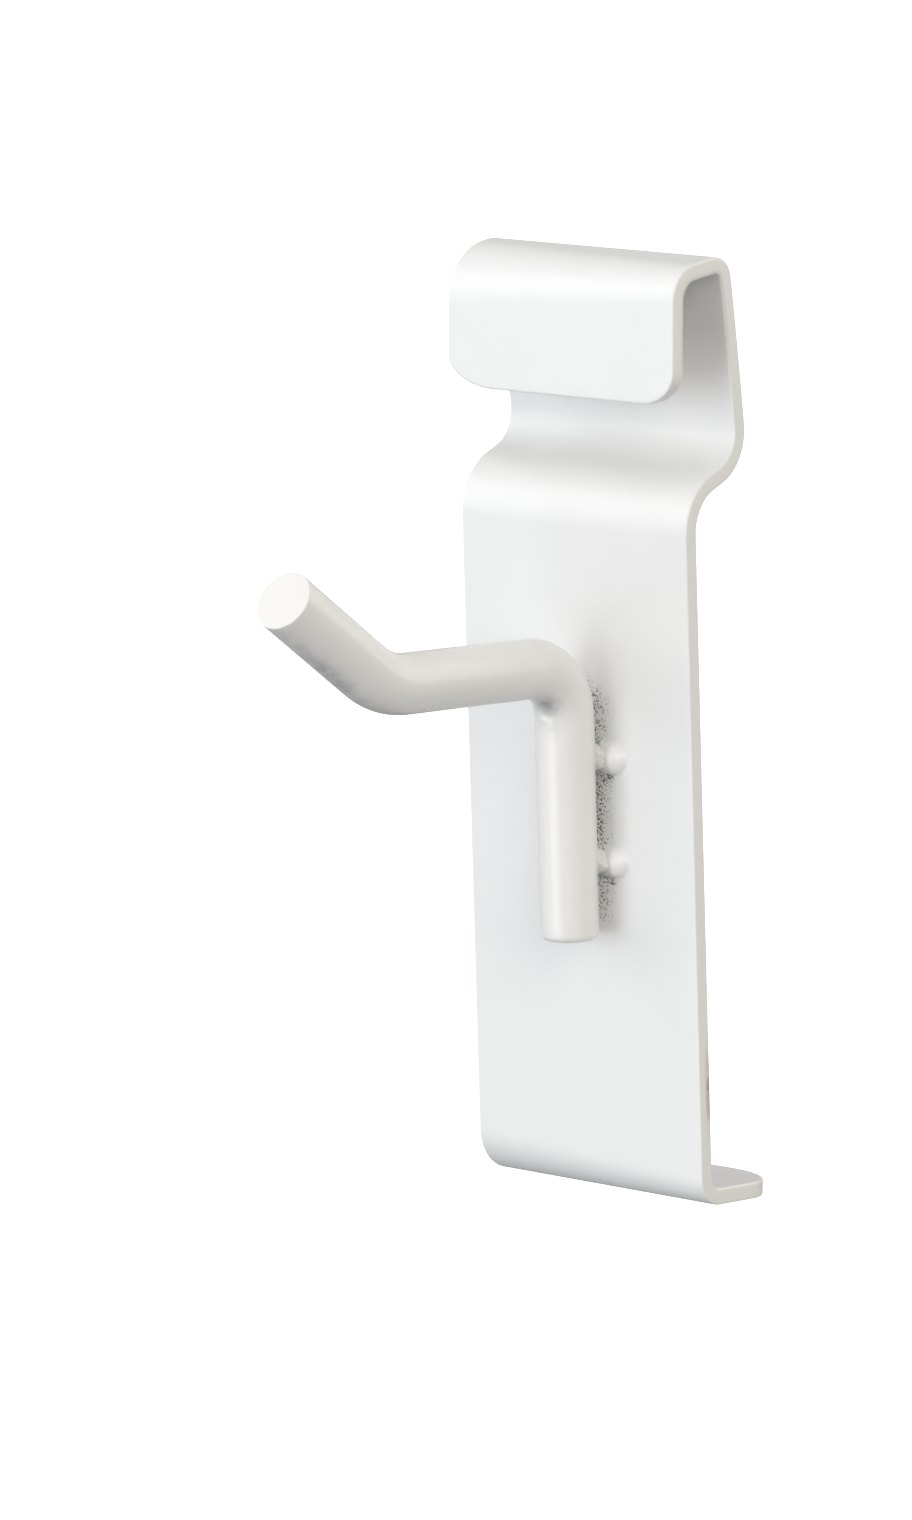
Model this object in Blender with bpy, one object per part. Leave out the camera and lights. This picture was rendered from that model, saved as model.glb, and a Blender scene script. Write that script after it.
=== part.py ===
"""Single peg hook for a wire grid wall.

A bent steel strip hangs on one horizontal grid wire by a downward hook, drops past the
next wire down, and tucks a short lip under it.  A bent round wire, welded across two ribs
pressed in the strip, sticks out in front and carries the goods.

Metres, +Z up.  X runs along the grid wires, +Y points at the grid and -Y along the peg.
The origin is the middle of the seat, the flat under the crown that sits on the upper wire.
"""

import math

import bpy
import bmesh
from mathutils import Matrix, Vector

MM = 0.001

# Strip stock and its two ends
STRIP_WIDTH = 26.0 * MM
STRIP_THICKNESS = 1.5 * MM
STRIP_EDGE_RADIUS = 0.4 * MM
# Each end's corners are quarter ellipses: (along the strip, across it)
LEG_LEFT_CORNER = (2.9 * MM, 5.2 * MM)
LEG_RIGHT_CORNER = (3.0 * MM, 3.6 * MM)
LIP_CORNER = (5.0 * MM, 6.6 * MM)

# Strip bends: centre-line radii in metres, angles in degrees
CROWN_RISE = 5.0
CROWN_LENGTH = 1.9 * MM
LEG_SPLAY = 3.0
LEG_LENGTH = 8.3 * MM
FRONT_BEND_RADIUS = 3.5 * MM
REAR_BEND_RADIUS = 1.5 * MM
BACK_LEAN_TOP = 6.9
BACK_LEAN_FOOT = 5.0
BACK_LENGTH = 13.3 * MM
JOG_SLOPE = 19.3
JOG_UPPER_RADIUS = 4.0 * MM
JOG_LENGTH = 1.35 * MM
JOG_LOWER_RADIUS = 4.65 * MM
FACE_LENGTH = 56.5 * MM
FOOT_RADIUS = 3.4 * MM
LIP_DROP = 4.5
LIP_LENGTH = 8.3 * MM

# Peg wire: lengths are between the corners of its centre line
WIRE_DIAMETER = 5.4 * MM
WIRE_OFFSET = 1.3 * MM
WIRE_STANDOFF = 0.71 * MM
WIRE_END_BELOW_FACE_TOP = 36.6 * MM
WIRE_UPRIGHT = 24.7 * MM
WIRE_RUN = 24.25 * MM
WIRE_TIP = 15.85 * MM
WIRE_RUN_RISE = 4.4
WIRE_TIP_RISE = 37.0
WIRE_ROOT_BEND_RADIUS = 5.0 * MM
WIRE_TIP_BEND_RADIUS = 10.0 * MM
WIRE_END_ROUNDING = 0.35 * MM

# Pressed ribs and welds
RIBS = {"upper_weld": 20.6 * MM, "lower_weld": 29.95 * MM}
RIB_LENGTH = 9.1 * MM
RIB_WIDTH = 2.9 * MM
RIB_HEIGHT = 1.2 * MM
DIMPLE_LENGTH = 7.6 * MM
DIMPLE_WIDTH = 2.2 * MM
DIMPLE_DEPTH = 0.8 * MM
WELD_LENGTH = 4.9 * MM
WELD_WIDTH = 3.3 * MM
WELD_HEIGHT = 1.5 * MM
GAP = 0.25 * MM

# Fineness of the curves
BEND_STEP = 6.0
WIRE_SIDES = 32
RIB_SIDES = 20
CAPSULE_ANGLES = (9, 18, 36, 54, 72, 90)
CORNER_STEPS = 8
EDGE_STEPS = 3
SMOOTH_ANGLE = 30.0


def clear_scene():
    for item in list(bpy.data.objects):
        bpy.data.objects.remove(item, do_unlink=True)


def powder_coat(name, colour, roughness, metallic):
    """A Principled material."""
    material = bpy.data.materials.new(name)
    material.use_nodes = True
    shader = material.node_tree.nodes["Principled BSDF"]
    shader.inputs["Base Color"].default_value = (*colour, 1.0)
    shader.inputs["Roughness"].default_value = roughness
    shader.inputs["Metallic"].default_value = metallic
    return material


def make_object(name, bm, material):
    """Close a bmesh into a named object, shaded smooth but for its sharp edges."""
    bmesh.ops.recalc_face_normals(bm, faces=bm.faces)
    mesh = bpy.data.meshes.new(name)
    bm.to_mesh(mesh)
    bm.free()
    mesh.shade_smooth()
    mesh.set_sharp_from_angle(angle=math.radians(SMOOTH_ANGLE))
    mesh.materials.append(material)
    item = bpy.data.objects.new(name, mesh)
    bpy.context.collection.objects.link(item)
    return item


def make_cutter(name, bm):
    """A guide solid for a Boolean, which is no part of the object."""
    item = make_object(name, bm, None)
    item.hide_render = True
    item.display_type = "WIRE"
    return item


def combine(target, tool, operation):
    modifier = target.modifiers.new(f"{operation.lower()}_{tool.name}", "BOOLEAN")
    modifier.operation = operation
    modifier.solver = "EXACT"
    modifier.object = tool


def heading_vector(degrees):
    """Unit vector in the side plane, counted from +Y towards +Z."""
    angle = math.radians(degrees)
    return Vector((0.0, math.cos(angle), math.sin(angle)))


def trace(start, heading, moves):
    """Walk straight runs (length,) and bends (radius, turn); give points, headings, lengths."""
    point = Vector(start)
    travelled = 0.0
    stations = [(point.copy(), heading, travelled)]
    for move in moves:
        if len(move) == 1:
            point = point + heading_vector(heading) * move[0]
            travelled += move[0]
            stations.append((point.copy(), heading, travelled))
            continue
        radius, turn = move
        side = math.copysign(90.0, turn)
        centre = point + heading_vector(heading + side) * radius
        first = heading
        steps = max(2, math.ceil(abs(turn) / BEND_STEP))
        for step in range(1, steps + 1):
            heading = first + turn * step / steps
            point = centre - heading_vector(heading + side) * radius
            along = travelled + radius * math.radians(abs(turn)) * step / steps
            stations.append((point.copy(), heading, along))
        travelled = along
    return stations


def strip_stations():
    """The strip's centre line from the lip to the front leg, and its face run's top end."""
    crown_middle = heading_vector(CROWN_RISE + 90.0) * (STRIP_THICKNESS / 2)
    rear_moves = [
        (CROWN_LENGTH / 2,),
        (REAR_BEND_RADIUS, -(CROWN_RISE + 90.0 - BACK_LEAN_TOP)),
        (BACK_LENGTH / math.radians(BACK_LEAN_TOP - BACK_LEAN_FOOT), BACK_LEAN_FOOT - BACK_LEAN_TOP),
        (JOG_UPPER_RADIUS, -(90.0 - JOG_SLOPE + BACK_LEAN_FOOT)),
        (JOG_LENGTH,),
        (JOG_LOWER_RADIUS, 90.0 - JOG_SLOPE),
        (FACE_LENGTH,),
        (FOOT_RADIUS, 90.0 - LIP_DROP),
        (LIP_LENGTH,),
    ]
    face_index = 6
    front_moves = [
        (CROWN_LENGTH / 2,),
        (FRONT_BEND_RADIUS, 90.0 - CROWN_RISE - LEG_SPLAY),
        (LEG_LENGTH,),
    ]
    rear = trace(crown_middle, CROWN_RISE, rear_moves)
    face_top = trace(crown_middle, CROWN_RISE, rear_moves[:face_index])[-1][0]
    front = trace(crown_middle, CROWN_RISE + 180.0, front_moves)
    back_to_crown = [(point, heading + 180.0, -along) for point, heading, along in reversed(rear[1:])]
    whole = back_to_crown + front[1:]
    return whole, face_top


def end_inset(distance, along, across):
    """How far a corner of these two radii pulls the side in, this far from the end."""
    if distance >= along:
        return 0.0
    share = 1.0 - distance / along
    return across * (1.0 - math.sqrt(1.0 - share**2))


def add_end_stations(stations, first_length, last_length):
    """Split the two end runs so that their corners can be rounded."""

    def split(end, neighbour, length):
        extra = []
        for step in range(1, CORNER_STEPS + 1):
            share = (1.0 - math.cos(math.radians(90.0) * step / CORNER_STEPS)) * length
            share /= abs(neighbour[2] - end[2])
            point = end[0].lerp(neighbour[0], share)
            extra.append((point, end[1], end[2] + (neighbour[2] - end[2]) * share))
        return extra

    head = split(stations[0], stations[1], first_length)
    tail = split(stations[-1], stations[-2], last_length)
    return stations[:1] + head + stations[1:-1] + tail[::-1] + stations[-1:]


def section_points(left, right, thickness, rounding):
    """Rounded rectangle of the strip as (x, offset across the sheet) pairs."""
    half = thickness / 2
    centres = [
        (right - rounding, half - rounding, 0.0),
        (left + rounding, half - rounding, 90.0),
        (left + rounding, rounding - half, 180.0),
        (right - rounding, rounding - half, 270.0),
    ]
    points = []
    for x, offset, first in centres:
        for step in range(EDGE_STEPS + 1):
            angle = math.radians(first + 90.0 * step / EDGE_STEPS)
            points.append((x + rounding * math.cos(angle), offset + rounding * math.sin(angle)))
    return points


def skin_rings(rings):
    """One closed body through a row of equal rings."""
    bm = bmesh.new()
    loops = [[bm.verts.new(point) for point in ring] for ring in rings]
    for ahead, behind in zip(loops[1:], loops):
        for index in range(len(ahead)):
            other = (index + 1) % len(ahead)
            bm.faces.new((behind[index], behind[other], ahead[other], ahead[index]))
    bm.faces.new(loops[0][::-1])
    bm.faces.new(loops[-1])
    return bm


def build_strip(stations, material):
    """The bent strip, with rounded corners at both ends."""
    leg_reach = max(LEG_LEFT_CORNER[0], LEG_RIGHT_CORNER[0])
    stations = add_end_stations(stations, LIP_CORNER[0], leg_reach)
    first = stations[0][2]
    last = stations[-1][2]
    rings = []
    for point, heading, along in stations:
        from_lip = abs(along - first)
        from_leg = abs(last - along)
        lip_inset = end_inset(from_lip, *LIP_CORNER)
        left = lip_inset + end_inset(from_leg, *LEG_LEFT_CORNER) - STRIP_WIDTH / 2
        right = STRIP_WIDTH / 2 - lip_inset - end_inset(from_leg, *LEG_RIGHT_CORNER)
        from_end = min(from_lip, from_leg)
        thinning = 2 * end_inset(from_end, STRIP_EDGE_RADIUS, STRIP_EDGE_RADIUS)
        rounding = STRIP_EDGE_RADIUS - thinning / 4
        section = section_points(left, right, STRIP_THICKNESS - thinning, rounding)
        across = heading_vector(heading + 90.0)
        rings.append([point + Vector((x, 0.0, 0.0)) + across * offset for x, offset in section])
    return make_object("back_plate", skin_rings(rings), material)


def wire_start(face_top):
    """The lower end of the peg's upright, on its centre line."""
    standing_off = STRIP_THICKNESS / 2 + WIRE_STANDOFF + WIRE_DIAMETER / 2
    return face_top + Vector((WIRE_OFFSET, -standing_off, -WIRE_END_BELOW_FACE_TOP))


def build_wire(start, material):
    """The peg: an upright, a run out and a tip turned up, all one round wire."""
    radius = WIRE_DIAMETER / 2
    root_turn = 90.0 - WIRE_RUN_RISE
    tip_turn = WIRE_TIP_RISE - WIRE_RUN_RISE
    root_trim = WIRE_ROOT_BEND_RADIUS * math.tan(math.radians(root_turn / 2))
    tip_trim = WIRE_TIP_BEND_RADIUS * math.tan(math.radians(tip_turn / 2))
    moves = [
        (WIRE_UPRIGHT - root_trim,),
        (WIRE_ROOT_BEND_RADIUS, root_turn),
        (WIRE_RUN - root_trim - tip_trim,),
        (WIRE_TIP_BEND_RADIUS, -tip_turn),
        (WIRE_TIP - tip_trim,),
    ]
    stations = trace(start, 90.0, moves)
    total = stations[-1][2]
    rounding = []
    for step in range(1, EDGE_STEPS + 1):
        rounding.append(WIRE_END_ROUNDING * (1.0 - math.cos(math.radians(90.0) * step / EDGE_STEPS)))
    ends = []
    for distance in rounding:
        ends.append((start + heading_vector(90.0) * distance, 90.0, distance))
    tip, tip_heading, _ = stations[-1]
    for distance in reversed(rounding):
        place = tip - heading_vector(tip_heading) * distance
        ends.append((place, tip_heading, total - distance))
    stations = stations[:1] + ends[:EDGE_STEPS] + stations[1:-1] + ends[EDGE_STEPS:] + stations[-1:]
    rings = []
    for point, heading, along in stations:
        pull = end_inset(min(along, total - along), WIRE_END_ROUNDING, WIRE_END_ROUNDING)
        across = heading_vector(heading + 90.0)
        ring = []
        for side in range(WIRE_SIDES):
            angle = 2 * math.pi * side / WIRE_SIDES
            spoke = Vector((math.cos(angle), 0.0, 0.0)) + across * math.sin(angle)
            ring.append(point + spoke * (radius - pull))
        rings.append(ring)
    return make_object("hook_wire", skin_rings(rings), material)


def capsule(centre, length, width, height):
    """A round-ended bar along X, width in Z and twice the height in Y."""
    end_radius = width / 2
    profile = []
    for angle in CAPSULE_ANGLES:
        turn = math.radians(angle)
        profile.append((length / 2 - end_radius * (1.0 - math.cos(turn)), math.sin(turn)))
    row = profile + [(-x, size) for x, size in reversed(profile)]
    rings = []
    for x, size in row:
        ring = []
        for side in range(RIB_SIDES):
            angle = 2 * math.pi * side / RIB_SIDES
            offset = Vector((x, height * size * math.cos(angle), end_radius * size * math.sin(angle)))
            ring.append(centre + offset)
        rings.append(ring)
    return skin_rings(rings)


def box(centre, size):
    bm = bmesh.new()
    bmesh.ops.create_cube(bm, size=1.0)
    bmesh.ops.scale(bm, vec=size, verts=bm.verts)
    bmesh.ops.translate(bm, vec=centre, verts=bm.verts)
    return bm


def upright_cylinder(centre, radius, length):
    bm = bmesh.new()
    bmesh.ops.create_cone(bm, cap_ends=True, segments=WIRE_SIDES, radius1=radius, radius2=radius,
                          depth=length, matrix=Matrix.Translation(centre))
    return bm


def press_rib(strip, name, centre):
    """One half-round rib in front, its dimple behind, and the seat that the weld fills."""
    rib = make_cutter(f"{name}_rib", capsule(centre, RIB_LENGTH, RIB_WIDTH, RIB_HEIGHT))
    combine(strip, rib, "UNION")
    seat_floor = 0.05 * MM
    seat_depth = 2 * RIB_HEIGHT
    seat_centre = centre - Vector((0.0, seat_floor + seat_depth / 2, 0.0))
    seat_size = (WELD_LENGTH + 2 * GAP, seat_depth, WELD_WIDTH + 2 * GAP)
    seat = make_cutter(f"{name}_seat", box(seat_centre, seat_size))
    combine(strip, seat, "DIFFERENCE")
    behind = centre + Vector((0.0, STRIP_THICKNESS, 0.0))
    dimple = make_cutter(f"{name}_dimple", capsule(behind, DIMPLE_LENGTH, DIMPLE_WIDTH, DIMPLE_DEPTH))
    combine(strip, dimple, "DIFFERENCE")


def build_weld(name, centre, wire_axis, material):
    """The fused saddle between a rib and the wire."""
    weld = make_object(name, capsule(centre, WELD_LENGTH, WELD_WIDTH, WELD_HEIGHT), material)
    reach = 4 * WELD_WIDTH
    wall_centre = centre + Vector((0.0, reach / 2 - GAP, 0.0))
    wall = make_cutter(f"{name}_wall", box(wall_centre, (reach, reach, reach)))
    combine(weld, wall, "DIFFERENCE")
    axis = Vector((wire_axis.x, wire_axis.y, centre.z))
    wire_room = upright_cylinder(axis, WIRE_DIAMETER / 2 + GAP, reach)
    combine(weld, make_cutter(f"{name}_wire_room", wire_room), "DIFFERENCE")


def main():
    clear_scene()
    white_coat = powder_coat("white_powder_coat", (0.86, 0.86, 0.85), 0.32, 0.0)
    peg_coat = powder_coat("peg_powder_coat", (0.86, 0.85, 0.83), 0.32, 0.0)
    weld_coat = powder_coat("coated_weld", (0.82, 0.80, 0.74), 0.45, 0.0)
    stations, face_top = strip_stations()
    strip = build_strip(stations, white_coat)
    wire_axis = wire_start(face_top)
    build_wire(wire_axis, peg_coat)
    face_front = face_top - Vector((0.0, STRIP_THICKNESS / 2, 0.0))
    for name, below in RIBS.items():
        centre = face_front + Vector((WIRE_OFFSET, 0.0, -below))
        press_rib(strip, name, centre)
        build_weld(name, centre, wire_axis, weld_coat)


main()
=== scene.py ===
"""Finished looks of the grid wall peg hook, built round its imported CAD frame.

Each CAD solid is replaced by a finer mesh of the same shape in the same place: the bent and
coated strip with its two pressed ribs, the round wire peg and the two weld nuggets between them.
Metres, in the frame's own axes: X along the grid wires, +Y at the grid, -Y along the peg, +Z up.
"""

import math

import bmesh
import bpy
import numpy as np
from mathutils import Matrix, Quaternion, Vector, noise


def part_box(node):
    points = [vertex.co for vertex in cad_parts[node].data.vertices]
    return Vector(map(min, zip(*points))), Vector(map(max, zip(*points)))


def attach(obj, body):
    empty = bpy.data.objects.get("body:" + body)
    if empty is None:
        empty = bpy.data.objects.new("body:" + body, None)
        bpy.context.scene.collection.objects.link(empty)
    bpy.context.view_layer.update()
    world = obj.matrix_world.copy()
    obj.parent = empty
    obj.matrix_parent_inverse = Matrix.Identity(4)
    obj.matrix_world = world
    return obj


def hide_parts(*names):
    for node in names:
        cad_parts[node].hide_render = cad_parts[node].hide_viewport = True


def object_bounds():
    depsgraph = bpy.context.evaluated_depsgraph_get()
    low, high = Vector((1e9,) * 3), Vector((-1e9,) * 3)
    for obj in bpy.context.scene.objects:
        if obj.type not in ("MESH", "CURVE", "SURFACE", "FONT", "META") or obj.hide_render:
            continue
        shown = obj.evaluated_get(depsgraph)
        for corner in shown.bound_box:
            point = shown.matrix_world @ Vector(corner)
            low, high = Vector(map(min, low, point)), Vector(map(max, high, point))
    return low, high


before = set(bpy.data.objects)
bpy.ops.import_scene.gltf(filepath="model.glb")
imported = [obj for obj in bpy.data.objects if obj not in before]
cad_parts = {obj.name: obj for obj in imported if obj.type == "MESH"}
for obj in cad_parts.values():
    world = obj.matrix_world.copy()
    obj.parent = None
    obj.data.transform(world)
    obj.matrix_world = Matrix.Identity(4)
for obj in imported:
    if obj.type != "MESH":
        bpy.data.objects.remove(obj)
CAD_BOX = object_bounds()

MM = 0.001

# Strip: the driving sizes of its CAD solid, with a slightly shorter lip to square its end.
# Radii are the centre line's and angles are in degrees.
STRIP_THICKNESS = 1.5 * MM
LEG_LEFT_CORNER = (2.9 * MM, 5.2 * MM)
LEG_RIGHT_CORNER = (3.0 * MM, 3.6 * MM)
LIP_CORNER = (5.0 * MM, 6.6 * MM)
CROWN_RISE = 5.0
CROWN_LENGTH = 1.9 * MM
LEG_SPLAY = 3.0
LEG_LENGTH = 8.3 * MM
FRONT_BEND_RADIUS = 3.5 * MM
REAR_BEND_RADIUS = 1.5 * MM
BACK_LEAN_TOP = 6.9
BACK_LEAN_FOOT = 5.0
BACK_LENGTH = 13.3 * MM
JOG_SLOPE = 19.3
JOG_UPPER_RADIUS = 4.0 * MM
JOG_LENGTH = 1.35 * MM
JOG_LOWER_RADIUS = 4.65 * MM
FACE_LENGTH = 56.5 * MM
FOOT_RADIUS = 3.4 * MM
LIP_DROP = 4.5
LIP_LENGTH = 8.22 * MM

# The press left both outer bends rounder on the left side of the strip than on the right
FRONT_BEND_SPREAD = (4.5 * MM, 2.5 * MM)
FOOT_SPREAD = (3.6 * MM, 1.9 * MM)

# Coated edges of the strip: on the face's side and on the other side
FACE_EDGE_RADIUS = 0.16 * MM
BACK_EDGE_RADIUS = 0.2 * MM

# Peg: the driving sizes of its CAD solid, with a slightly shorter tip for the same reason
WIRE_UPRIGHT = 24.7 * MM
WIRE_RUN = 24.25 * MM
WIRE_TIP = 15.65 * MM
WIRE_RUN_RISE = 4.4
WIRE_TIP_RISE = 37.0
WIRE_ROOT_BEND_RADIUS = 5.0 * MM
WIRE_TIP_BEND_RADIUS = 10.0 * MM

# Ribs and the dimples behind them; a dome's power makes it flat on top (0) or pointed (1)
RIB_LENGTH = 8.2 * MM
RIB_WIDTH = 2.9 * MM
RIB_HEIGHT = 1.2 * MM
RIB_FILLET = 0.3 * MM
RIB_DOME = 0.55
RIB_SINK = 0.42
RIB_SINK_REACH = 2.6 * MM
DIMPLE_LENGTH = 7.6 * MM
DIMPLE_WIDTH = 2.2 * MM
DIMPLE_DEPTH = 0.8 * MM
DIMPLE_DOME = 0.6

# Camera, as angles round the object and degrees of tilt
CAMERA_AZIMUTH = 41.07
CAMERA_ELEVATION = 10.68
CAMERA_ROLL = -1.67
CAMERA_LENS = 241.278
CAMERA_SENSOR = 36.0
CAMERA_DISTANCE = 900.0 * MM
CAMERA_AIM = Vector((-4.35, -15.58, -42.36)) * MM


# ---------------------------------------------------------------- places from the frame

STRIP_LOW, STRIP_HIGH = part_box("back_plate")
WIRE_LOW, WIRE_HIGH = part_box("hook_wire")
WIRE_RADIUS = (WIRE_HIGH.x - WIRE_LOW.x) / 2
WIRE_X = (WIRE_HIGH.x + WIRE_LOW.x) / 2
WIRE_FOOT = (WIRE_HIGH.y - WIRE_RADIUS, WIRE_LOW.z)
WELDS = {}
for weld_name in ("upper_weld", "lower_weld"):
    weld_low, weld_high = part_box(weld_name)
    WELDS[weld_name] = (weld_low + weld_high) / 2
FACE_BEHIND_WELD = 0.69 * MM
FACE_Y = WELDS["upper_weld"].y + FACE_BEHIND_WELD


# ---------------------------------------------------------------- small tools

def heading_vector(degrees):
    """Unit (y, z) of a heading counted from +Y towards +Z; takes numbers or arrays."""
    angle = np.radians(degrees)
    return np.stack([np.cos(angle), np.sin(angle)], axis=-1)


def even(count):
    return np.arange(1, count + 1) / count


def slowing(count):
    """Shares of a run whose steps get shorter towards its end, as round a quarter turn."""
    return np.sin(np.radians(90.0) * even(count))


def quickening(count):
    """The reverse: steps that start short and get longer."""
    return 1.0 - np.cos(np.radians(90.0) * even(count))


def trace(start, heading, moves):
    """Walk straight runs (length, 0, shares) and bends (radius, turn, shares) in the side plane.

    A length or radius may be an array, with a value for each column.  Gives points
    (station, column, 2), headings (station,) and the length walked (station, column).
    """
    point = np.array(start, float)
    walked = np.zeros(len(point))
    points, headings, lengths = [point], [heading], [walked]
    for size, turn, shares in moves:
        size = np.broadcast_to(size, walked.shape)[:, None]
        side = math.copysign(90.0, turn)
        centre = point + heading_vector(heading + side) * size
        for share in shares:
            bent = heading + turn * share
            if turn:
                points.append(centre - heading_vector(bent + side) * size)
                reach = size[:, 0] * math.radians(abs(turn)) * share
            else:
                points.append(point + heading_vector(heading) * size * share)
                reach = size[:, 0] * share
            headings.append(bent)
            lengths.append(walked + reach)
        point, heading, walked = points[-1], headings[-1], lengths[-1]
    return np.array(points), np.array(headings), np.array(lengths)


def end_inset(distance, along, across):
    """How far an end corner of these two radii pulls the side in, this far from the end."""
    share = np.clip(1.0 - distance / along, 0.0, 1.0)
    return across * (1.0 - np.sqrt(1.0 - share**2))


def ramp(value, zero_at, one_at):
    """0 at the first place and 1 at the second, even between them and level beyond."""
    return np.clip((value - zero_at) / (one_at - zero_at), 0.0, 1.0)


def peak(value, middle, width):
    """1 at the middle, falling smoothly to nothing a few widths away."""
    return np.exp(-(((value - middle) / width) ** 2))


def closeness(places, centre, size):
    """The same for places in space and their distance from a centre."""
    return peak(np.linalg.norm(places - np.array(centre), axis=-1), 0.0, size)


def smooth_max(a, b, blend):
    """The larger of two heights, with a fillet of this size where they cross."""
    near = np.clip(1.0 - np.abs(a - b) / blend, 0.0, 1.0)
    return np.maximum(a, b) + near**2 * blend / 4


def make_piece(name, vertices, faces, material, node):
    """A smooth closed mesh that stands for a CAD node and takes the named finish."""
    mesh = bpy.data.meshes.new(name)
    mesh.from_pydata([tuple(v) for v in vertices], [], faces)
    bm = bmesh.new()
    bm.from_mesh(mesh)
    bmesh.ops.recalc_face_normals(bm, faces=bm.faces)
    bm.to_mesh(mesh)
    bm.free()
    mesh.shade_smooth()
    mesh.materials.append(material)
    piece = bpy.data.objects.new(name, mesh)
    bpy.context.collection.objects.link(piece)
    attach(piece, "root")
    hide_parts(node)
    return piece


def add_mask(piece, name, values):
    """A number for each vertex, which a material reads as an attribute."""
    mask = piece.data.attributes.new(name, "FLOAT", "POINT")
    mask.data.foreach_set("value", np.asarray(values, np.float32))


# ---------------------------------------------------------------- strip

EDGE_DISTANCES = np.array([0.0, 0.008, 0.028, 0.06, 0.1, 0.15, 0.2, 0.45, 0.8]) * MM
WALL_ROWS = 3
RIB_REACH = RIB_LENGTH / 2 + 0.7 * MM
RIB_ZONE = (WIRE_X - RIB_REACH, WIRE_X + RIB_REACH)
FACE_TO_RIBS = 18.0 * MM
RIBS_STRETCH = 14.6 * MM
LEG_REACH = max(LEG_LEFT_CORNER[0], LEG_RIGHT_CORNER[0])

# Heights: the rusty burr's middle and reach, and where the painted shade on the hook's inside fades
# out
BURR_MIDDLE = -72.5 * MM
BURR_REACH = 2.8 * MM
RECESS_SHADE_FOOT = -8.6 * MM
RECESS_SHADE_FULL = -5.6 * MM


def strip_columns():
    """Places across the full width: fine at both edges and where the ribs are."""
    left = STRIP_LOW.x
    right = STRIP_HIGH.x
    inner_left = left + EDGE_DISTANCES[-1]
    inner_right = right - EDGE_DISTANCES[-1]
    plain_left = np.linspace(inner_left, RIB_ZONE[0], 10)[1:-1]
    ribs = np.linspace(*RIB_ZONE, 76)
    plain_right = np.linspace(RIB_ZONE[1], inner_right, 8)[1:-1]
    edge_left = left + EDGE_DISTANCES
    edge_right = (right - EDGE_DISTANCES)[::-1]
    return np.concatenate([edge_left, plain_left, ribs, plain_right, edge_right])


def strip_centre_line(columns):
    """Centre line of each column from the lip's end to the front leg's end."""
    share = (columns - columns[0]) / (columns[-1] - columns[0])
    front_radius = np.interp(share, (0.0, 1.0), FRONT_BEND_SPREAD)
    foot_radius = np.interp(share, (0.0, 1.0), FOOT_SPREAD)
    front_turn = 90.0 - CROWN_RISE - LEG_SPLAY
    foot_turn = 90.0 - LIP_DROP
    front_shift = (front_radius - FRONT_BEND_RADIUS) * math.tan(math.radians(front_turn / 2))
    foot_shift = (foot_radius - FOOT_RADIUS) * math.tan(math.radians(foot_turn / 2))
    back_turn = BACK_LEAN_TOP - BACK_LEAN_FOOT
    rear_moves = [
        (CROWN_LENGTH / 2, 0, even(1)),
        (REAR_BEND_RADIUS, -(CROWN_RISE + 90.0 - BACK_LEAN_TOP), even(20)),
        (BACK_LENGTH / math.radians(back_turn), -back_turn, even(12)),
        (JOG_UPPER_RADIUS, -(90.0 - JOG_SLOPE + BACK_LEAN_FOOT), even(24)),
        (JOG_LENGTH, 0, even(3)),
        (JOG_LOWER_RADIUS, 90.0 - JOG_SLOPE, even(24)),
        (FACE_TO_RIBS, 0, even(14)),
        (RIBS_STRETCH, 0, even(110)),
        (FACE_LENGTH - FACE_TO_RIBS - RIBS_STRETCH - foot_shift, 0, even(18)),
        (foot_radius, foot_turn, even(32)),
        (LIP_LENGTH - foot_shift - LIP_CORNER[0], 0, even(4)),
        (LIP_CORNER[0], 0, slowing(18)),
    ]
    front_moves = [
        (CROWN_LENGTH / 2 - front_shift, 0, even(1)),
        (front_radius, front_turn, even(30)),
        (LEG_LENGTH - front_shift - LEG_REACH, 0, even(5)),
        (LEG_REACH, 0, slowing(14)),
    ]
    crown_middle = heading_vector(CROWN_RISE + 90.0) * STRIP_THICKNESS / 2
    start = np.tile(crown_middle, (len(columns), 1))
    rear = trace(start, CROWN_RISE, rear_moves)
    front = trace(start, CROWN_RISE + 180.0, front_moves)
    points = np.concatenate([rear[0][:0:-1], front[0]])
    headings = np.concatenate([rear[1][:0:-1] + 180.0, front[1]])
    along = np.concatenate([-rear[2][:0:-1], front[2]])[:, 0]
    return points, headings, along


def outline_distance(x, left, right, from_end, rows):
    """Distance of each grid point in these end rows from the blank's rounded outline."""
    outline = [(left[row], from_end[row]) for row in rows[::-1]]
    outline += [(right[row], from_end[row]) for row in rows]
    outline = np.array(outline)
    first = outline[:-1]
    step = outline[1:] - first
    points = np.stack([x[rows], np.broadcast_to(from_end[rows][:, None], x[rows].shape)], axis=-1)
    offset = points[:, :, None, :] - first
    share = np.clip((offset * step).sum(-1) / (step**2).sum(-1), 0.0, 1.0)
    return np.linalg.norm(offset - share[..., None] * step, axis=-1).min(-1)


def bar_distance(x, z, centre_x, centre_z, length, width):
    """Distance from a round-ended bar's middle line, in half widths."""
    past_end = np.maximum(np.abs(x - centre_x) - (length - width) / 2, 0.0)
    return np.hypot(past_end, z - centre_z) / (width / 2)


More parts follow.
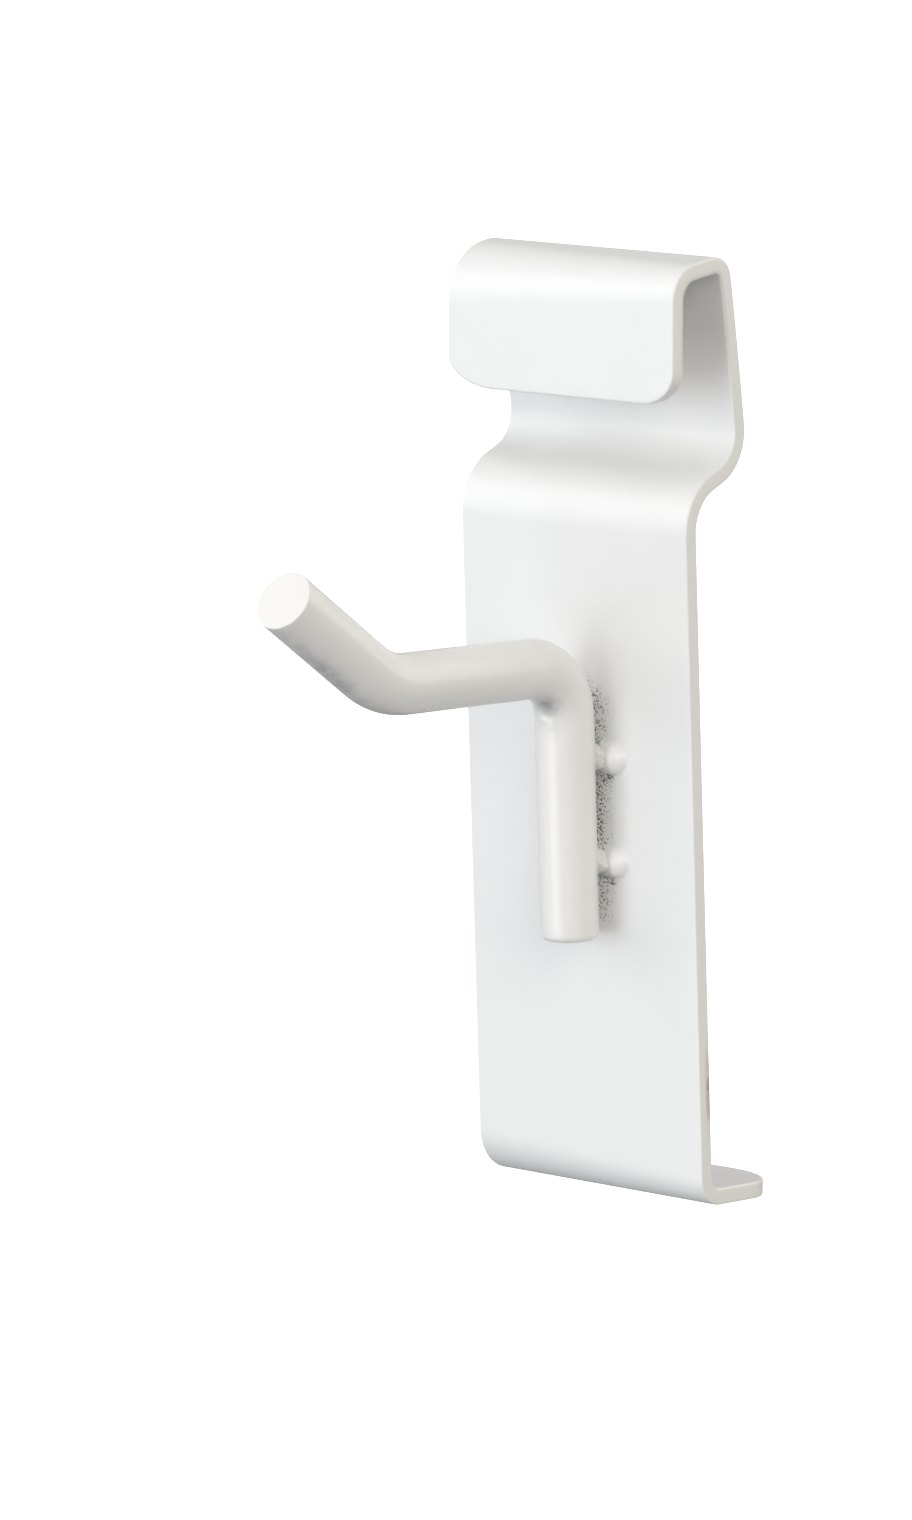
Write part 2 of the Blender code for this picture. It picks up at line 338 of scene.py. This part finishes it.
def rib_height(x, z):
    """Pressed ribs: full at their free ends and sunk under the peg, where the weld ate them."""
    height = np.zeros_like(x)
    for centre in WELDS.values():
        away = bar_distance(x, z, WIRE_X, centre.z, RIB_LENGTH, RIB_WIDTH)
        dome = np.clip(1.0 - away**2, 0.0, 1.0) ** RIB_DOME
        sunk = RIB_SINK * np.exp(-((np.abs(x - WIRE_X) / RIB_SINK_REACH) ** 6))
        bar = RIB_HEIGHT * dome * (1.0 - sunk) - np.maximum(away - 1.0, 0.0) * RIB_WIDTH
        height = smooth_max(height, bar, RIB_FILLET)
    return height


def dimple_depth(x, z):
    """The hollows that the press left behind the ribs."""
    depth = np.zeros_like(x)
    for centre in WELDS.values():
        away = bar_distance(x, z, WIRE_X, centre.z, DIMPLE_LENGTH, DIMPLE_WIDTH)
        bowl = DIMPLE_DEPTH * np.clip(1.0 - away**2, 0.0, 1.0) ** DIMPLE_DOME
        bowl -= np.maximum(away - 1.0, 0.0) * DIMPLE_WIDTH
        depth = smooth_max(depth, bowl, RIB_FILLET)
    return depth


def rounded_half(distance, radius):
    """Half the sheet's thickness, rounded off at this distance from its outline."""
    inside = np.clip(radius - distance, 0.0, radius)
    return STRIP_THICKNESS / 2 - radius + np.sqrt(radius**2 - inside**2)


def strip_sheet():
    """Side-to-side places, centre line and distance from the outline, as (row, column) grids."""
    columns = strip_columns()
    points, headings, along = strip_centre_line(columns)
    from_lip = along - along[0]
    from_leg = along[-1] - along
    lip_inset = end_inset(from_lip, *LIP_CORNER)
    left = STRIP_LOW.x + lip_inset + end_inset(from_leg, *LEG_LEFT_CORNER)
    right = STRIP_HIGH.x - lip_inset - end_inset(from_leg, *LEG_RIGHT_CORNER)

    edge = len(EDGE_DISTANCES)
    reach = EDGE_DISTANCES[-1]
    share = (columns - columns[edge - 1]) / (columns[-edge] - columns[edge - 1])
    x = (left + reach)[:, None] + share * (right - left - 2 * reach)[:, None]
    x[:, :edge] = left[:, None] + EDGE_DISTANCES
    x[:, -edge:] = right[:, None] - EDGE_DISTANCES[::-1]

    distance = np.minimum(x - left[:, None], right[:, None] - x)
    lip_rows = np.flatnonzero(from_lip < LIP_CORNER[0] + reach)
    leg_rows = np.flatnonzero(from_leg < LEG_REACH + reach)[::-1]
    distance[lip_rows] = outline_distance(x, left, right, from_lip, lip_rows)
    distance[leg_rows] = outline_distance(x, left, right, from_leg, leg_rows)
    return x, points, headings, distance


def strip_layers(x, points, headings, distance):
    """Surface grids from the face's side, through the sheared wall, to the other side."""
    z = points[..., 1]
    upright = (np.abs(headings - 90.0) < 0.01)[:, None]
    on_face = upright & (z < WELDS["upper_weld"].z + RIBS_STRETCH)
    ribs = np.where(on_face, rib_height(x, z), 0.0)
    dimples = np.where(on_face, dimple_depth(x, z), 0.0)
    face_half = rounded_half(distance, FACE_EDGE_RADIUS) + ribs
    back_half = rounded_half(distance, BACK_EDGE_RADIUS) - dimples
    across = heading_vector(headings + 90.0)[:, None, :]
    layers = []
    for share in np.arange(WALL_ROWS + 2) / (WALL_ROWS + 1):
        offset = face_half * (1 - share) - back_half * share
        layers.append(np.concatenate([x[..., None], points + across * offset[..., None]], axis=-1))
    return layers


def grid_faces(grid):
    """Four-sided faces between the neighbours of a grid of vertex numbers."""
    quads = np.stack([grid[:-1, :-1], grid[:-1, 1:], grid[1:, 1:], grid[1:, :-1]], axis=-1)
    return quads.reshape(-1, 4).tolist()


def strip_mesh(layers):
    """Vertices and faces of the closed strip: whole outer layers and the rims between them."""
    shape = layers[0].shape[:2]
    size = shape[0] * shape[1]
    ids = -np.ones((len(layers), *shape), int)
    ids[0] = np.arange(size).reshape(shape)
    ids[-1] = ids[0] + size
    vertices = [layers[0].reshape(-1, 3), layers[-1].reshape(-1, 3)]
    rim = np.zeros(shape, bool)
    rim[[0, -1], :] = True
    rim[:, [0, -1]] = True
    for layer in range(1, len(layers) - 1):
        ids[layer][rim] = 2 * size + (layer - 1) * rim.sum() + np.arange(rim.sum())
        vertices.append(layers[layer][rim])
    faces = []
    for grid in (ids[0], ids[-1], ids[:, 0, :], ids[:, -1, :], ids[:, :, 0], ids[:, :, -1]):
        faces += grid_faces(grid)
    return np.concatenate(vertices), faces


def build_strip(material):
    x, points, headings, distance = strip_sheet()
    vertices, faces = strip_mesh(strip_layers(x, points, headings, distance))
    piece = make_piece("strip", vertices, faces, material, "back_plate")

    on_edge = np.ones(len(vertices))
    on_edge[:2 * x.size] = np.tile(ramp(distance, FACE_EDGE_RADIUS, 0.0).ravel(), 2)
    add_mask(piece, "cut_edge", on_edge)
    add_mask(piece, "thin_coat_and_shade", strip_thin_coat_and_shade(vertices))
    add_mask(piece, "wear_and_shade_mask", strip_bare_edge(vertices))
    # Painted shade: a greyer inside of the top hook
    add_mask(piece, "recess_shade_painted", strip_painted_recess_shade(vertices, x.size))
    return piece


def strip_thin_coat_and_shade(vertices):
    """Where little powder reached: the face in the narrow gap beside the peg, with pinholes; the
    grey over it is painted shade, and the line just under each rib is a painted shadow.
    """
    x, y, z = vertices.T
    beside = np.abs(x - WIRE_X)
    near = ramp(beside, 4.2 * MM, 1.0 * MM)
    top = WELDS["upper_weld"].z + 9.0 * MM
    foot = WIRE_LOW.z
    ends = ramp(z, top, top - 4.0 * MM) * ramp(z, foot, foot + 1.5 * MM)
    shadow_under_ribs = 0.0
    # Painted shadow: a dark line of pinholes and grey just under each rib
    for centre in WELDS.values():
        line = peak(z, centre.z - 1.75 * MM, 0.35 * MM)
        shadow_under_ribs += 0.5 * line * ramp(beside, 3.6 * MM, 2.6 * MM)
    front = ramp(y, FACE_Y + 1.0 * MM, FACE_Y + 0.6 * MM)
    on_rib = ramp(y, FACE_Y - 0.2 * MM, FACE_Y - 0.7 * MM)
    clear_of_peg = ramp(beside, 1.6 * MM, 2.1 * MM)
    return np.clip(near * ends + shadow_under_ribs, 0.0, 1.0) * front * (1.0 - on_rib * clear_of_peg)


def strip_bare_edge(vertices):
    """The burr side of the right sheared edge, low on the face, where the coat ran thin."""
    x, y, z = vertices.T
    side = ramp(x, STRIP_HIGH.x - 0.3 * MM, STRIP_HIGH.x - 0.1 * MM)
    rear = ramp(y, FACE_Y + 0.8 * MM, FACE_Y + 1.1 * MM)
    return side * rear * peak(z, BURR_MIDDLE, BURR_REACH)


def strip_painted_recess_shade(vertices, face_layer_size):
    """Painted shade: the inside of the top hook is made greyer, where the hook's own shadow falls.
    """
    inside = ramp(vertices[:, 2], RECESS_SHADE_FOOT, RECESS_SHADE_FULL)
    inside[face_layer_size:] = 0.0
    return inside


# ---------------------------------------------------------------- peg

WIRE_SIDES = 96
WIRE_FOOT_ROUNDING = 0.6 * MM
WIRE_TIP_ROUNDING = 0.1 * MM
WIRE_FLARE = (0.97, 1.03)
CAP_SHARES = (0.9, 0.6, 0.3)

# Faint lengthwise marks from drawing the wire: waves round it and where they start
DRAW_MARK_DEPTH = 0.012 * MM
DRAW_MARKS = ((5, 0.3), (8, 1.9), (13, 4.1))

# Runs of paint under the root bend and the dent in its crease, in mm: centre, size and height
PAINT_RUNS = (
    ((3.0, -9.3, -41.0), 0.35, 0.16),
    ((3.3, -9.1, -41.8), 0.3, 0.12),
    ((1.1, -9.9, -39.1), 0.45, 0.18),
    ((2.0, -10.0, -39.4), 0.4, 0.14),
    ((2.0, -10.7, -37.8), 0.7, -0.14),
)
# Painted shade in the root bend's crease, greyed, speckled and darkened: centre in mm, reach in mm
# and share
CREASE_SHADE_PLACE = (2.0, -10.7, -37.8)
CREASE_SHADE_REACH = 1.15
CREASE_SHADE_SHARE = 0.8

# Patches of painted dark reflection: distance along the wire and reach, then angle round it and
# spread in degrees.
# The raised tip's underside is darkened by a painted dark reflection with pinholes in it, and a thin
# painted reflection line runs under its bend.
UNDERSIDE_REFLECTION = (54.0 * MM, 7.0 * MM, 82.0, 26.0)
UNDERSIDE_THIN_AND_REFLECTION = 0.7
UNDERSIDE_REFLECTION_SHARE = 0.56
BEND_REFLECTION_LINE = (47.3 * MM, 1.7 * MM, 96.0, 4.0)


def wire_path():
    """Stations of the peg's centre line, close enough for small dents and paint runs."""
    root_turn = 90.0 - WIRE_RUN_RISE
    tip_turn = WIRE_TIP_RISE - WIRE_RUN_RISE
    root_trim = WIRE_ROOT_BEND_RADIUS * math.tan(math.radians(root_turn / 2))
    tip_trim = WIRE_TIP_BEND_RADIUS * math.tan(math.radians(tip_turn / 2))
    moves = [
        (WIRE_FOOT_ROUNDING, 0, quickening(8)),
        (WIRE_UPRIGHT - root_trim - WIRE_FOOT_ROUNDING, 0, even(40)),
        (WIRE_ROOT_BEND_RADIUS, root_turn, even(44)),
        (WIRE_RUN - root_trim - tip_trim, 0, even(34)),
        (WIRE_TIP_BEND_RADIUS, -tip_turn, even(20)),
        (WIRE_TIP - tip_trim - WIRE_TIP_ROUNDING, 0, even(26)),
        (WIRE_TIP_ROUNDING, 0, slowing(8)),
    ]
    points, headings, walked = trace([WIRE_FOOT], 90.0, moves)
    return points[:, 0], headings, walked[:, 0]


def peg_radius(walked, angles):
    """The coated wire's radius: thickest coat at the tip, rounded ends, faint marks along it."""
    radius = WIRE_RADIUS * np.interp(walked, (0.0, walked[-1]), WIRE_FLARE)
    radius -= end_inset(walked, WIRE_FOOT_ROUNDING, WIRE_FOOT_ROUNDING)
    radius -= end_inset(walked[-1] - walked, WIRE_TIP_ROUNDING, WIRE_TIP_ROUNDING)
    marks = sum(np.sin(waves * angles + start) for waves, start in DRAW_MARKS)
    return radius[:, None] + DRAW_MARK_DEPTH * (marks / len(DRAW_MARKS) - 1.0)


def peg_surface(points, headings, walked, angles):
    """Middles of the peg's rings and the points round them, lumps of paint and all."""
    spokes = np.empty((len(walked), WIRE_SIDES, 3))
    spokes[..., 0] = np.cos(angles)
    spokes[..., 1:] = np.sin(angles)[:, None] * heading_vector(headings + 90.0)[:, None, :]
    middles = np.insert(points, 0, WIRE_X, axis=1)[:, None, :]
    surface = middles + spokes * peg_radius(walked, angles)[..., None]
    runs = sum(height * closeness(surface / MM, centre, size) for centre, size, height in PAINT_RUNS)
    return middles, surface + spokes * runs[..., None] * MM


def peg_mesh(middles, surface):
    """Vertices and faces of the closed peg, with rings across its two cut ends."""
    foot = [middles[0] + (surface[0] - middles[0]) * share for share in CAP_SHARES[::-1]]
    tip = [middles[-1] + (surface[-1] - middles[-1]) * share for share in CAP_SHARES]
    vertices = np.concatenate([*foot, *surface, *tip, middles[0], middles[-1]])
    rings = np.arange(len(vertices) - 2).reshape(-1, WIRE_SIDES)
    faces = grid_faces(np.column_stack([rings, rings[:, :1]]))
    for ring, middle in ((rings[0], len(vertices) - 2), (rings[-1], len(vertices) - 1)):
        faces += [(int(a), int(b), middle) for a, b in zip(ring, np.roll(ring, -1))]
    return vertices, faces


def painted_reflection_patch(walked, angles, along, reach, angle, spread):
    """A mask over the peg's rings for one patch of painted dark reflection, with nothing on the cut
    ends.
    """
    round_wire = peak(angles, math.radians(angle), math.radians(spread))
    patch = peak(walked, along, reach)[:, None] * round_wire
    cap = len(CAP_SHARES) * WIRE_SIDES
    return np.pad(patch.ravel(), (cap, cap + 2))


def build_peg(material):
    points, headings, walked = wire_path()
    angles = 2 * math.pi * np.arange(WIRE_SIDES) / WIRE_SIDES
    vertices, faces = peg_mesh(*peg_surface(points, headings, walked, angles))
    piece = make_piece("peg", vertices, faces, material, "hook_wire")

    # Painted shade: the crease of the root bend is greyed and darkened
    rough = CREASE_SHADE_SHARE * closeness(vertices / MM, CREASE_SHADE_PLACE, CREASE_SHADE_REACH)
    # Painted dark reflection on the tip's underside, with pinholes, and a painted reflection line
    # under its bend
    under = painted_reflection_patch(walked, angles, *UNDERSIDE_REFLECTION)
    bend_reflection_line = painted_reflection_patch(walked, angles, *BEND_REFLECTION_LINE)
    wear_and_shade = rough + bend_reflection_line + UNDERSIDE_REFLECTION_SHARE * under
    add_mask(piece, "thin_coat_and_shade", np.clip(rough + UNDERSIDE_THIN_AND_REFLECTION * under, 0.0, 1.0))
    add_mask(piece, "wear_and_shade_mask", np.clip(wear_and_shade, 0.0, 1.0))
    return piece


# ---------------------------------------------------------------- welds

NUGGET_HALF = Vector((2.5, 0.75, 1.35)) * MM
NUGGET_LUMPS = 0.16
# Thin coat on the nuggets: pinholes, with a little painted shade
NUGGET_THIN_COAT_AND_SHADE = 0.25


def build_nugget(name, centre, seed, material):
    """Fused metal squeezed out between a rib and the peg, coated with everything else."""
    bm = bmesh.new()
    bmesh.ops.create_icosphere(bm, subdivisions=5, radius=1.0)
    shift = Vector((1.7 * seed + 0.6, 0.0, 0.0))
    for vertex in bm.verts:
        direction = vertex.co.copy()
        size = 1.0 + NUGGET_LUMPS * noise.fractal(direction * 1.7 + shift, 0.7, 2.0, 4)
        vertex.co = centre + direction * NUGGET_HALF * size
    vertices = [vertex.co.copy() for vertex in bm.verts]
    faces = [[vertex.index for vertex in face.verts] for face in bm.faces]
    bm.free()
    piece = make_piece(f"{name}_nugget", vertices, faces, material, name)
    add_mask(piece, "thin_coat_and_shade", np.full(len(vertices), NUGGET_THIN_COAT_AND_SHADE))
    return piece


# ---------------------------------------------------------------- materials

WARM_EDGE = (0.88, 0.87, 0.845)
# Painted shade inside the top hook: its grey and how much of it is mixed in
RECESS_SHADE_GREY = (0.47, 0.475, 0.45)
RECESS_SHADE_SHARE = 0.3
# Painted shade: grey mixed in over the thin coat's mask, beside the peg, under the ribs, in the root
# bend's crease, on the tip's underside and on the nuggets
SHADE_HAZE_GREY = (0.5, 0.5, 0.5)
SHADE_HAZE_SHARE = 0.16
PINHOLE_BROWN = (0.10, 0.085, 0.075)
RUST = (0.42, 0.32, 0.23)
# Painted shade and dark reflection on the peg: the grey of its crease, underside and bend line
PEG_SHADE_GREY = (0.3, 0.31, 0.34)
TONE_CHANGE = 0.985
FINISHES = {
    # name: colour, colour of rust on the strip and of painted shade on the peg, roughness, strength
    # of the orange peel
    "strip_powder_coat": ((0.88, 0.88, 0.875), RUST, 0.32, 0.5),
    "peg_powder_coat": ((0.875, 0.862, 0.838), PEG_SHADE_GREY, 0.33, 0.5),
    "weld_powder_coat": ((0.87, 0.86, 0.83), RUST, 0.4, 1.0),
}


def add_node(tree, kind, inputs=None, **settings):
    """A shader node; an input is a value or another node's socket."""
    made = tree.nodes.new(kind)
    for key, value in settings.items():
        setattr(made, key, value)
    for key, value in (inputs or {}).items():
        if isinstance(value, bpy.types.NodeSocket):
            tree.links.new(value, made.inputs[key])
        else:
            made.inputs[key].default_value = value
    return made


def calculate(tree, operation, first, second):
    return add_node(tree, "ShaderNodeMath", {0: first, 1: second}, operation=operation).outputs[0]


def rescale(tree, value, low, high, to_low, to_high):
    """Map a value from one range to another, level beyond its ends."""
    inputs = {"Value": value, "From Min": low, "From Max": high}
    inputs.update({"To Min": to_low, "To Max": to_high})
    return add_node(tree, "ShaderNodeMapRange", inputs).outputs[0]


def mix_colour(tree, share, first, second):
    """From the first colour to the second; either is an RGB tuple or a socket."""
    ends = {6: first, 7: second}
    for socket, colour in ends.items():
        if not isinstance(colour, bpy.types.NodeSocket):
            ends[socket] = (*colour, 1.0)
    return add_node(tree, "ShaderNodeMix", {0: share, **ends}, data_type="RGBA").outputs[2]


def grain(tree, scale, detail, rough=0.5):
    """Noise fixed to the piece; the scale is in grains a metre."""
    place = add_node(tree, "ShaderNodeTexCoord").outputs["Object"]
    inputs = {"Vector": place, "Scale": scale, "Detail": detail, "Roughness": rough}
    return add_node(tree, "ShaderNodeTexNoise", inputs).outputs["Fac"]


def mask(tree, name):
    """A vertex mask by name, which is 0 on a piece that has none."""
    return add_node(tree, "ShaderNodeAttribute", attribute_name=name).outputs["Fac"]


def bump(tree, height, strength, distance, under=None, **settings):
    inputs = {"Height": height, "Strength": strength, "Distance": distance}
    if under:
        inputs["Normal"] = under
    return add_node(tree, "ShaderNodeBump", inputs, **settings).outputs["Normal"]


def pinholes(tree, thin):
    """Dark specks that open up as the coat gets thinner, and also where shade is painted."""
    level = rescale(tree, thin, 0.0, 1.0, 0.82, 0.51)
    above = calculate(tree, "SUBTRACT", grain(tree, 6500.0, 2.0, 0.6), level)
    holes = rescale(tree, above, 0.0, 0.08, 0.0, 1.0)
    return calculate(tree, "MULTIPLY", holes, rescale(tree, thin, 0.05, 0.4, 0.0, 1.0))


def coat_colour(tree, colour, wear_and_shade_colour, thin, specks):
    """The powder's faint tones, then each place where it is yellowed, where shade is painted in the
    hook and over thin coat, where it is open, where rust shows on the strip, and where painted shade
    and dark reflection darken the peg.
    """
    tone = rescale(tree, grain(tree, 140.0, 3.0), 0.35, 0.65, 0.0, 1.0)
    powder = mix_colour(tree, tone, colour, [channel * TONE_CHANGE for channel in colour])
    edged = mix_colour(tree, mask(tree, "cut_edge"), powder, WARM_EDGE)
    # Painted shade: the inside of the top hook is greyed
    recess_shade = calculate(tree, "MULTIPLY", mask(tree, "recess_shade_painted"), RECESS_SHADE_SHARE)
    recess_shade_painted = mix_colour(tree, recess_shade, edged, RECESS_SHADE_GREY)
    # Painted shade: grey over the places where the coat is thin
    shade_haze = calculate(tree, "MULTIPLY", thin, SHADE_HAZE_SHARE)
    shade_hazed = mix_colour(tree, shade_haze, recess_shade_painted, SHADE_HAZE_GREY)
    spotted = mix_colour(tree, specks, shade_hazed, PINHOLE_BROWN)
    # Rust at the strip's burr; on the peg, painted shade and dark reflection
    patches = rescale(tree, grain(tree, 900.0, 4.0), 0.3, 0.6, 0.3, 1.0)
    wear_and_shade = calculate(tree, "MULTIPLY", mask(tree, "wear_and_shade_mask"), patches)
    return mix_colour(tree, wear_and_shade, spotted, wear_and_shade_colour)


def coat_normal(tree, peel, specks):
    """Orange peel in two sizes, with the pinholes sunk in it."""
    waves = bump(tree, grain(tree, 750.0, 2.0), peel, 0.02 * MM)
    fine = bump(tree, grain(tree, 3800.0, 2.0), peel, 0.004 * MM, under=waves)
    return bump(tree, specks, 0.6, 0.04 * MM, under=fine, invert=True)


def powder_coat(name, colour, wear_and_shade_colour, roughness, peel):
    """Gloss powder coat with orange peel, faint tone changes, dark pinholes where it is thin, and
    painted shade and dark reflection in its colour.
    """
    material = bpy.data.materials.new(name)
    material.use_nodes = True
    tree = material.node_tree
    shader = tree.nodes["Principled BSDF"]
    thin = mask(tree, "thin_coat_and_shade")
    specks = pinholes(tree, thin)
    final = coat_colour(tree, colour, wear_and_shade_colour, thin, specks)
    gloss = rescale(tree, grain(tree, 320.0, 2.0), 0.3, 0.7, roughness - 0.02, roughness + 0.05)
    dull = calculate(tree, "ADD", gloss, calculate(tree, "MULTIPLY", specks, 0.25))
    tree.links.new(final, shader.inputs["Base Color"])
    tree.links.new(dull, shader.inputs["Roughness"])
    tree.links.new(coat_normal(tree, peel, specks), shader.inputs["Normal"])
    shader.inputs["IOR"].default_value = 1.5
    shader.inputs["Coat Weight"].default_value = 0.25
    shader.inputs["Coat Roughness"].default_value = 0.12
    return material


# ---------------------------------------------------------------- studio

FLOOR_DROP = 0.15
FLOOR_RADIUS = 3.2
COVE_HEIGHT = 2.0
SKY_ABOVE = 0.51
SKY_BELOW = 0.28
HORIZON_BLEND = 0.3
SOFTBOXES = {
    # name: azimuth and elevation round the object, distance, size, power, colour
    "left": (-60.0, 20.0, 1.3, 1.0, 4.3, (1.0, 1.0, 1.0)),
    "front": (-10.0, 0.0, 1.5, 1.0, 9.4, (0.9, 0.945, 1.0)),
    "near_right": (60.0, 20.0, 1.3, 0.8, 5.9, (1.0, 0.955, 0.86)),
    "top": (0.0, 80.0, 1.3, 1.0, 1.3, (1.0, 1.0, 1.0)),
    "rear": (150.0, 20.0, 1.3, 1.0, 3.4, (1.0, 0.95, 0.84)),
}


def direction_from(azimuth, elevation):
    """Unit vector towards a place round the object; azimuth 0 is in front, 90 is on +X."""
    a, e = math.radians(azimuth), math.radians(elevation)
    return Vector((math.sin(a) * math.cos(e), -math.cos(a) * math.cos(e), math.sin(e)))


def add_softbox(name, azimuth, elevation, distance, size, power, colour, target):
    lamp = bpy.data.lights.new(name, "AREA")
    lamp.shape = "SQUARE"
    lamp.size = size
    lamp.energy = power
    lamp.color = colour
    light = bpy.data.objects.new(name, lamp)
    back = direction_from(azimuth, elevation)
    light.location = target + back * distance
    light.rotation_mode = "QUATERNION"
    light.rotation_quaternion = (-back).to_track_quat("-Z", "Y")
    bpy.context.collection.objects.link(light)


def add_floor():
    """Plain white floor and cove far round the hanging hook; their bounce stays off the hook."""
    bm = bmesh.new()
    bmesh.ops.create_circle(bm, cap_ends=True, segments=128, radius=FLOOR_RADIUS)
    wall = bmesh.ops.extrude_edge_only(bm, edges=bm.edges[:])["geom"]
    top = [part for part in wall if isinstance(part, bmesh.types.BMVert)]
    bmesh.ops.translate(bm, verts=top, vec=(0.0, 0.0, COVE_HEIGHT))
    mesh = bpy.data.meshes.new("floor")
    bm.to_mesh(mesh)
    bm.free()
    material = bpy.data.materials.new("white_floor")
    material.use_nodes = True
    shader = material.node_tree.nodes["Principled BSDF"]
    shader.inputs["Base Color"].default_value = (0.9, 0.9, 0.9, 1.0)
    shader.inputs["Roughness"].default_value = 0.9
    shader.inputs["Emission Color"].default_value = (1.0, 1.0, 1.0, 1.0)
    shader.inputs["Emission Strength"].default_value = 1.0
    mesh.materials.append(material)
    floor = bpy.data.objects.new("floor", mesh)
    floor.location.z = STRIP_LOW.z - FLOOR_DROP
    floor.visible_diffuse = False
    floor.visible_glossy = False
    floor.visible_shadow = False
    bpy.context.collection.objects.link(floor)


def add_studio():
    world = bpy.data.worlds.new("studio")
    world.use_nodes = True
    sky = world.node_tree.nodes["Background"]
    place = add_node(world.node_tree, "ShaderNodeTexCoord").outputs["Generated"]
    height = add_node(world.node_tree, "ShaderNodeSeparateXYZ", {"Vector": place}).outputs["Z"]
    glow = rescale(world.node_tree, height, -HORIZON_BLEND, HORIZON_BLEND, SKY_BELOW, SKY_ABOVE)
    world.node_tree.links.new(glow, sky.inputs["Color"])
    sky.inputs["Strength"].default_value = 1.0
    bpy.context.scene.world = world
    target = (Vector(CAD_BOX[0]) + Vector(CAD_BOX[1])) / 2
    for name, settings in SOFTBOXES.items():
        add_softbox(name, *settings, target)
    add_floor()
    bpy.context.scene.view_settings.view_transform = "Standard"


def add_camera():
    data = bpy.data.cameras.new("camera")
    data.lens = CAMERA_LENS
    data.sensor_width = CAMERA_SENSOR
    data.clip_start = 0.05
    data.clip_end = 60.0
    camera = bpy.data.objects.new("camera", data)
    back = direction_from(CAMERA_AZIMUTH, CAMERA_ELEVATION)
    level = (-back).to_track_quat("-Z", "Y")
    tilt = Quaternion(back, math.radians(CAMERA_ROLL))
    camera.rotation_mode = "QUATERNION"
    camera.rotation_quaternion = tilt @ level
    camera.location = CAMERA_AIM + back * CAMERA_DISTANCE
    bpy.context.collection.objects.link(camera)
    bpy.context.scene.camera = camera


def main():
    finishes = [powder_coat(name, *finish) for name, finish in FINISHES.items()]
    strip_finish, peg_finish, weld_finish = finishes
    build_strip(strip_finish)
    build_peg(peg_finish)
    for seed, (name, centre) in enumerate(WELDS.items()):
        build_nugget(name, centre, seed, weld_finish)
    add_studio()
    add_camera()


main()
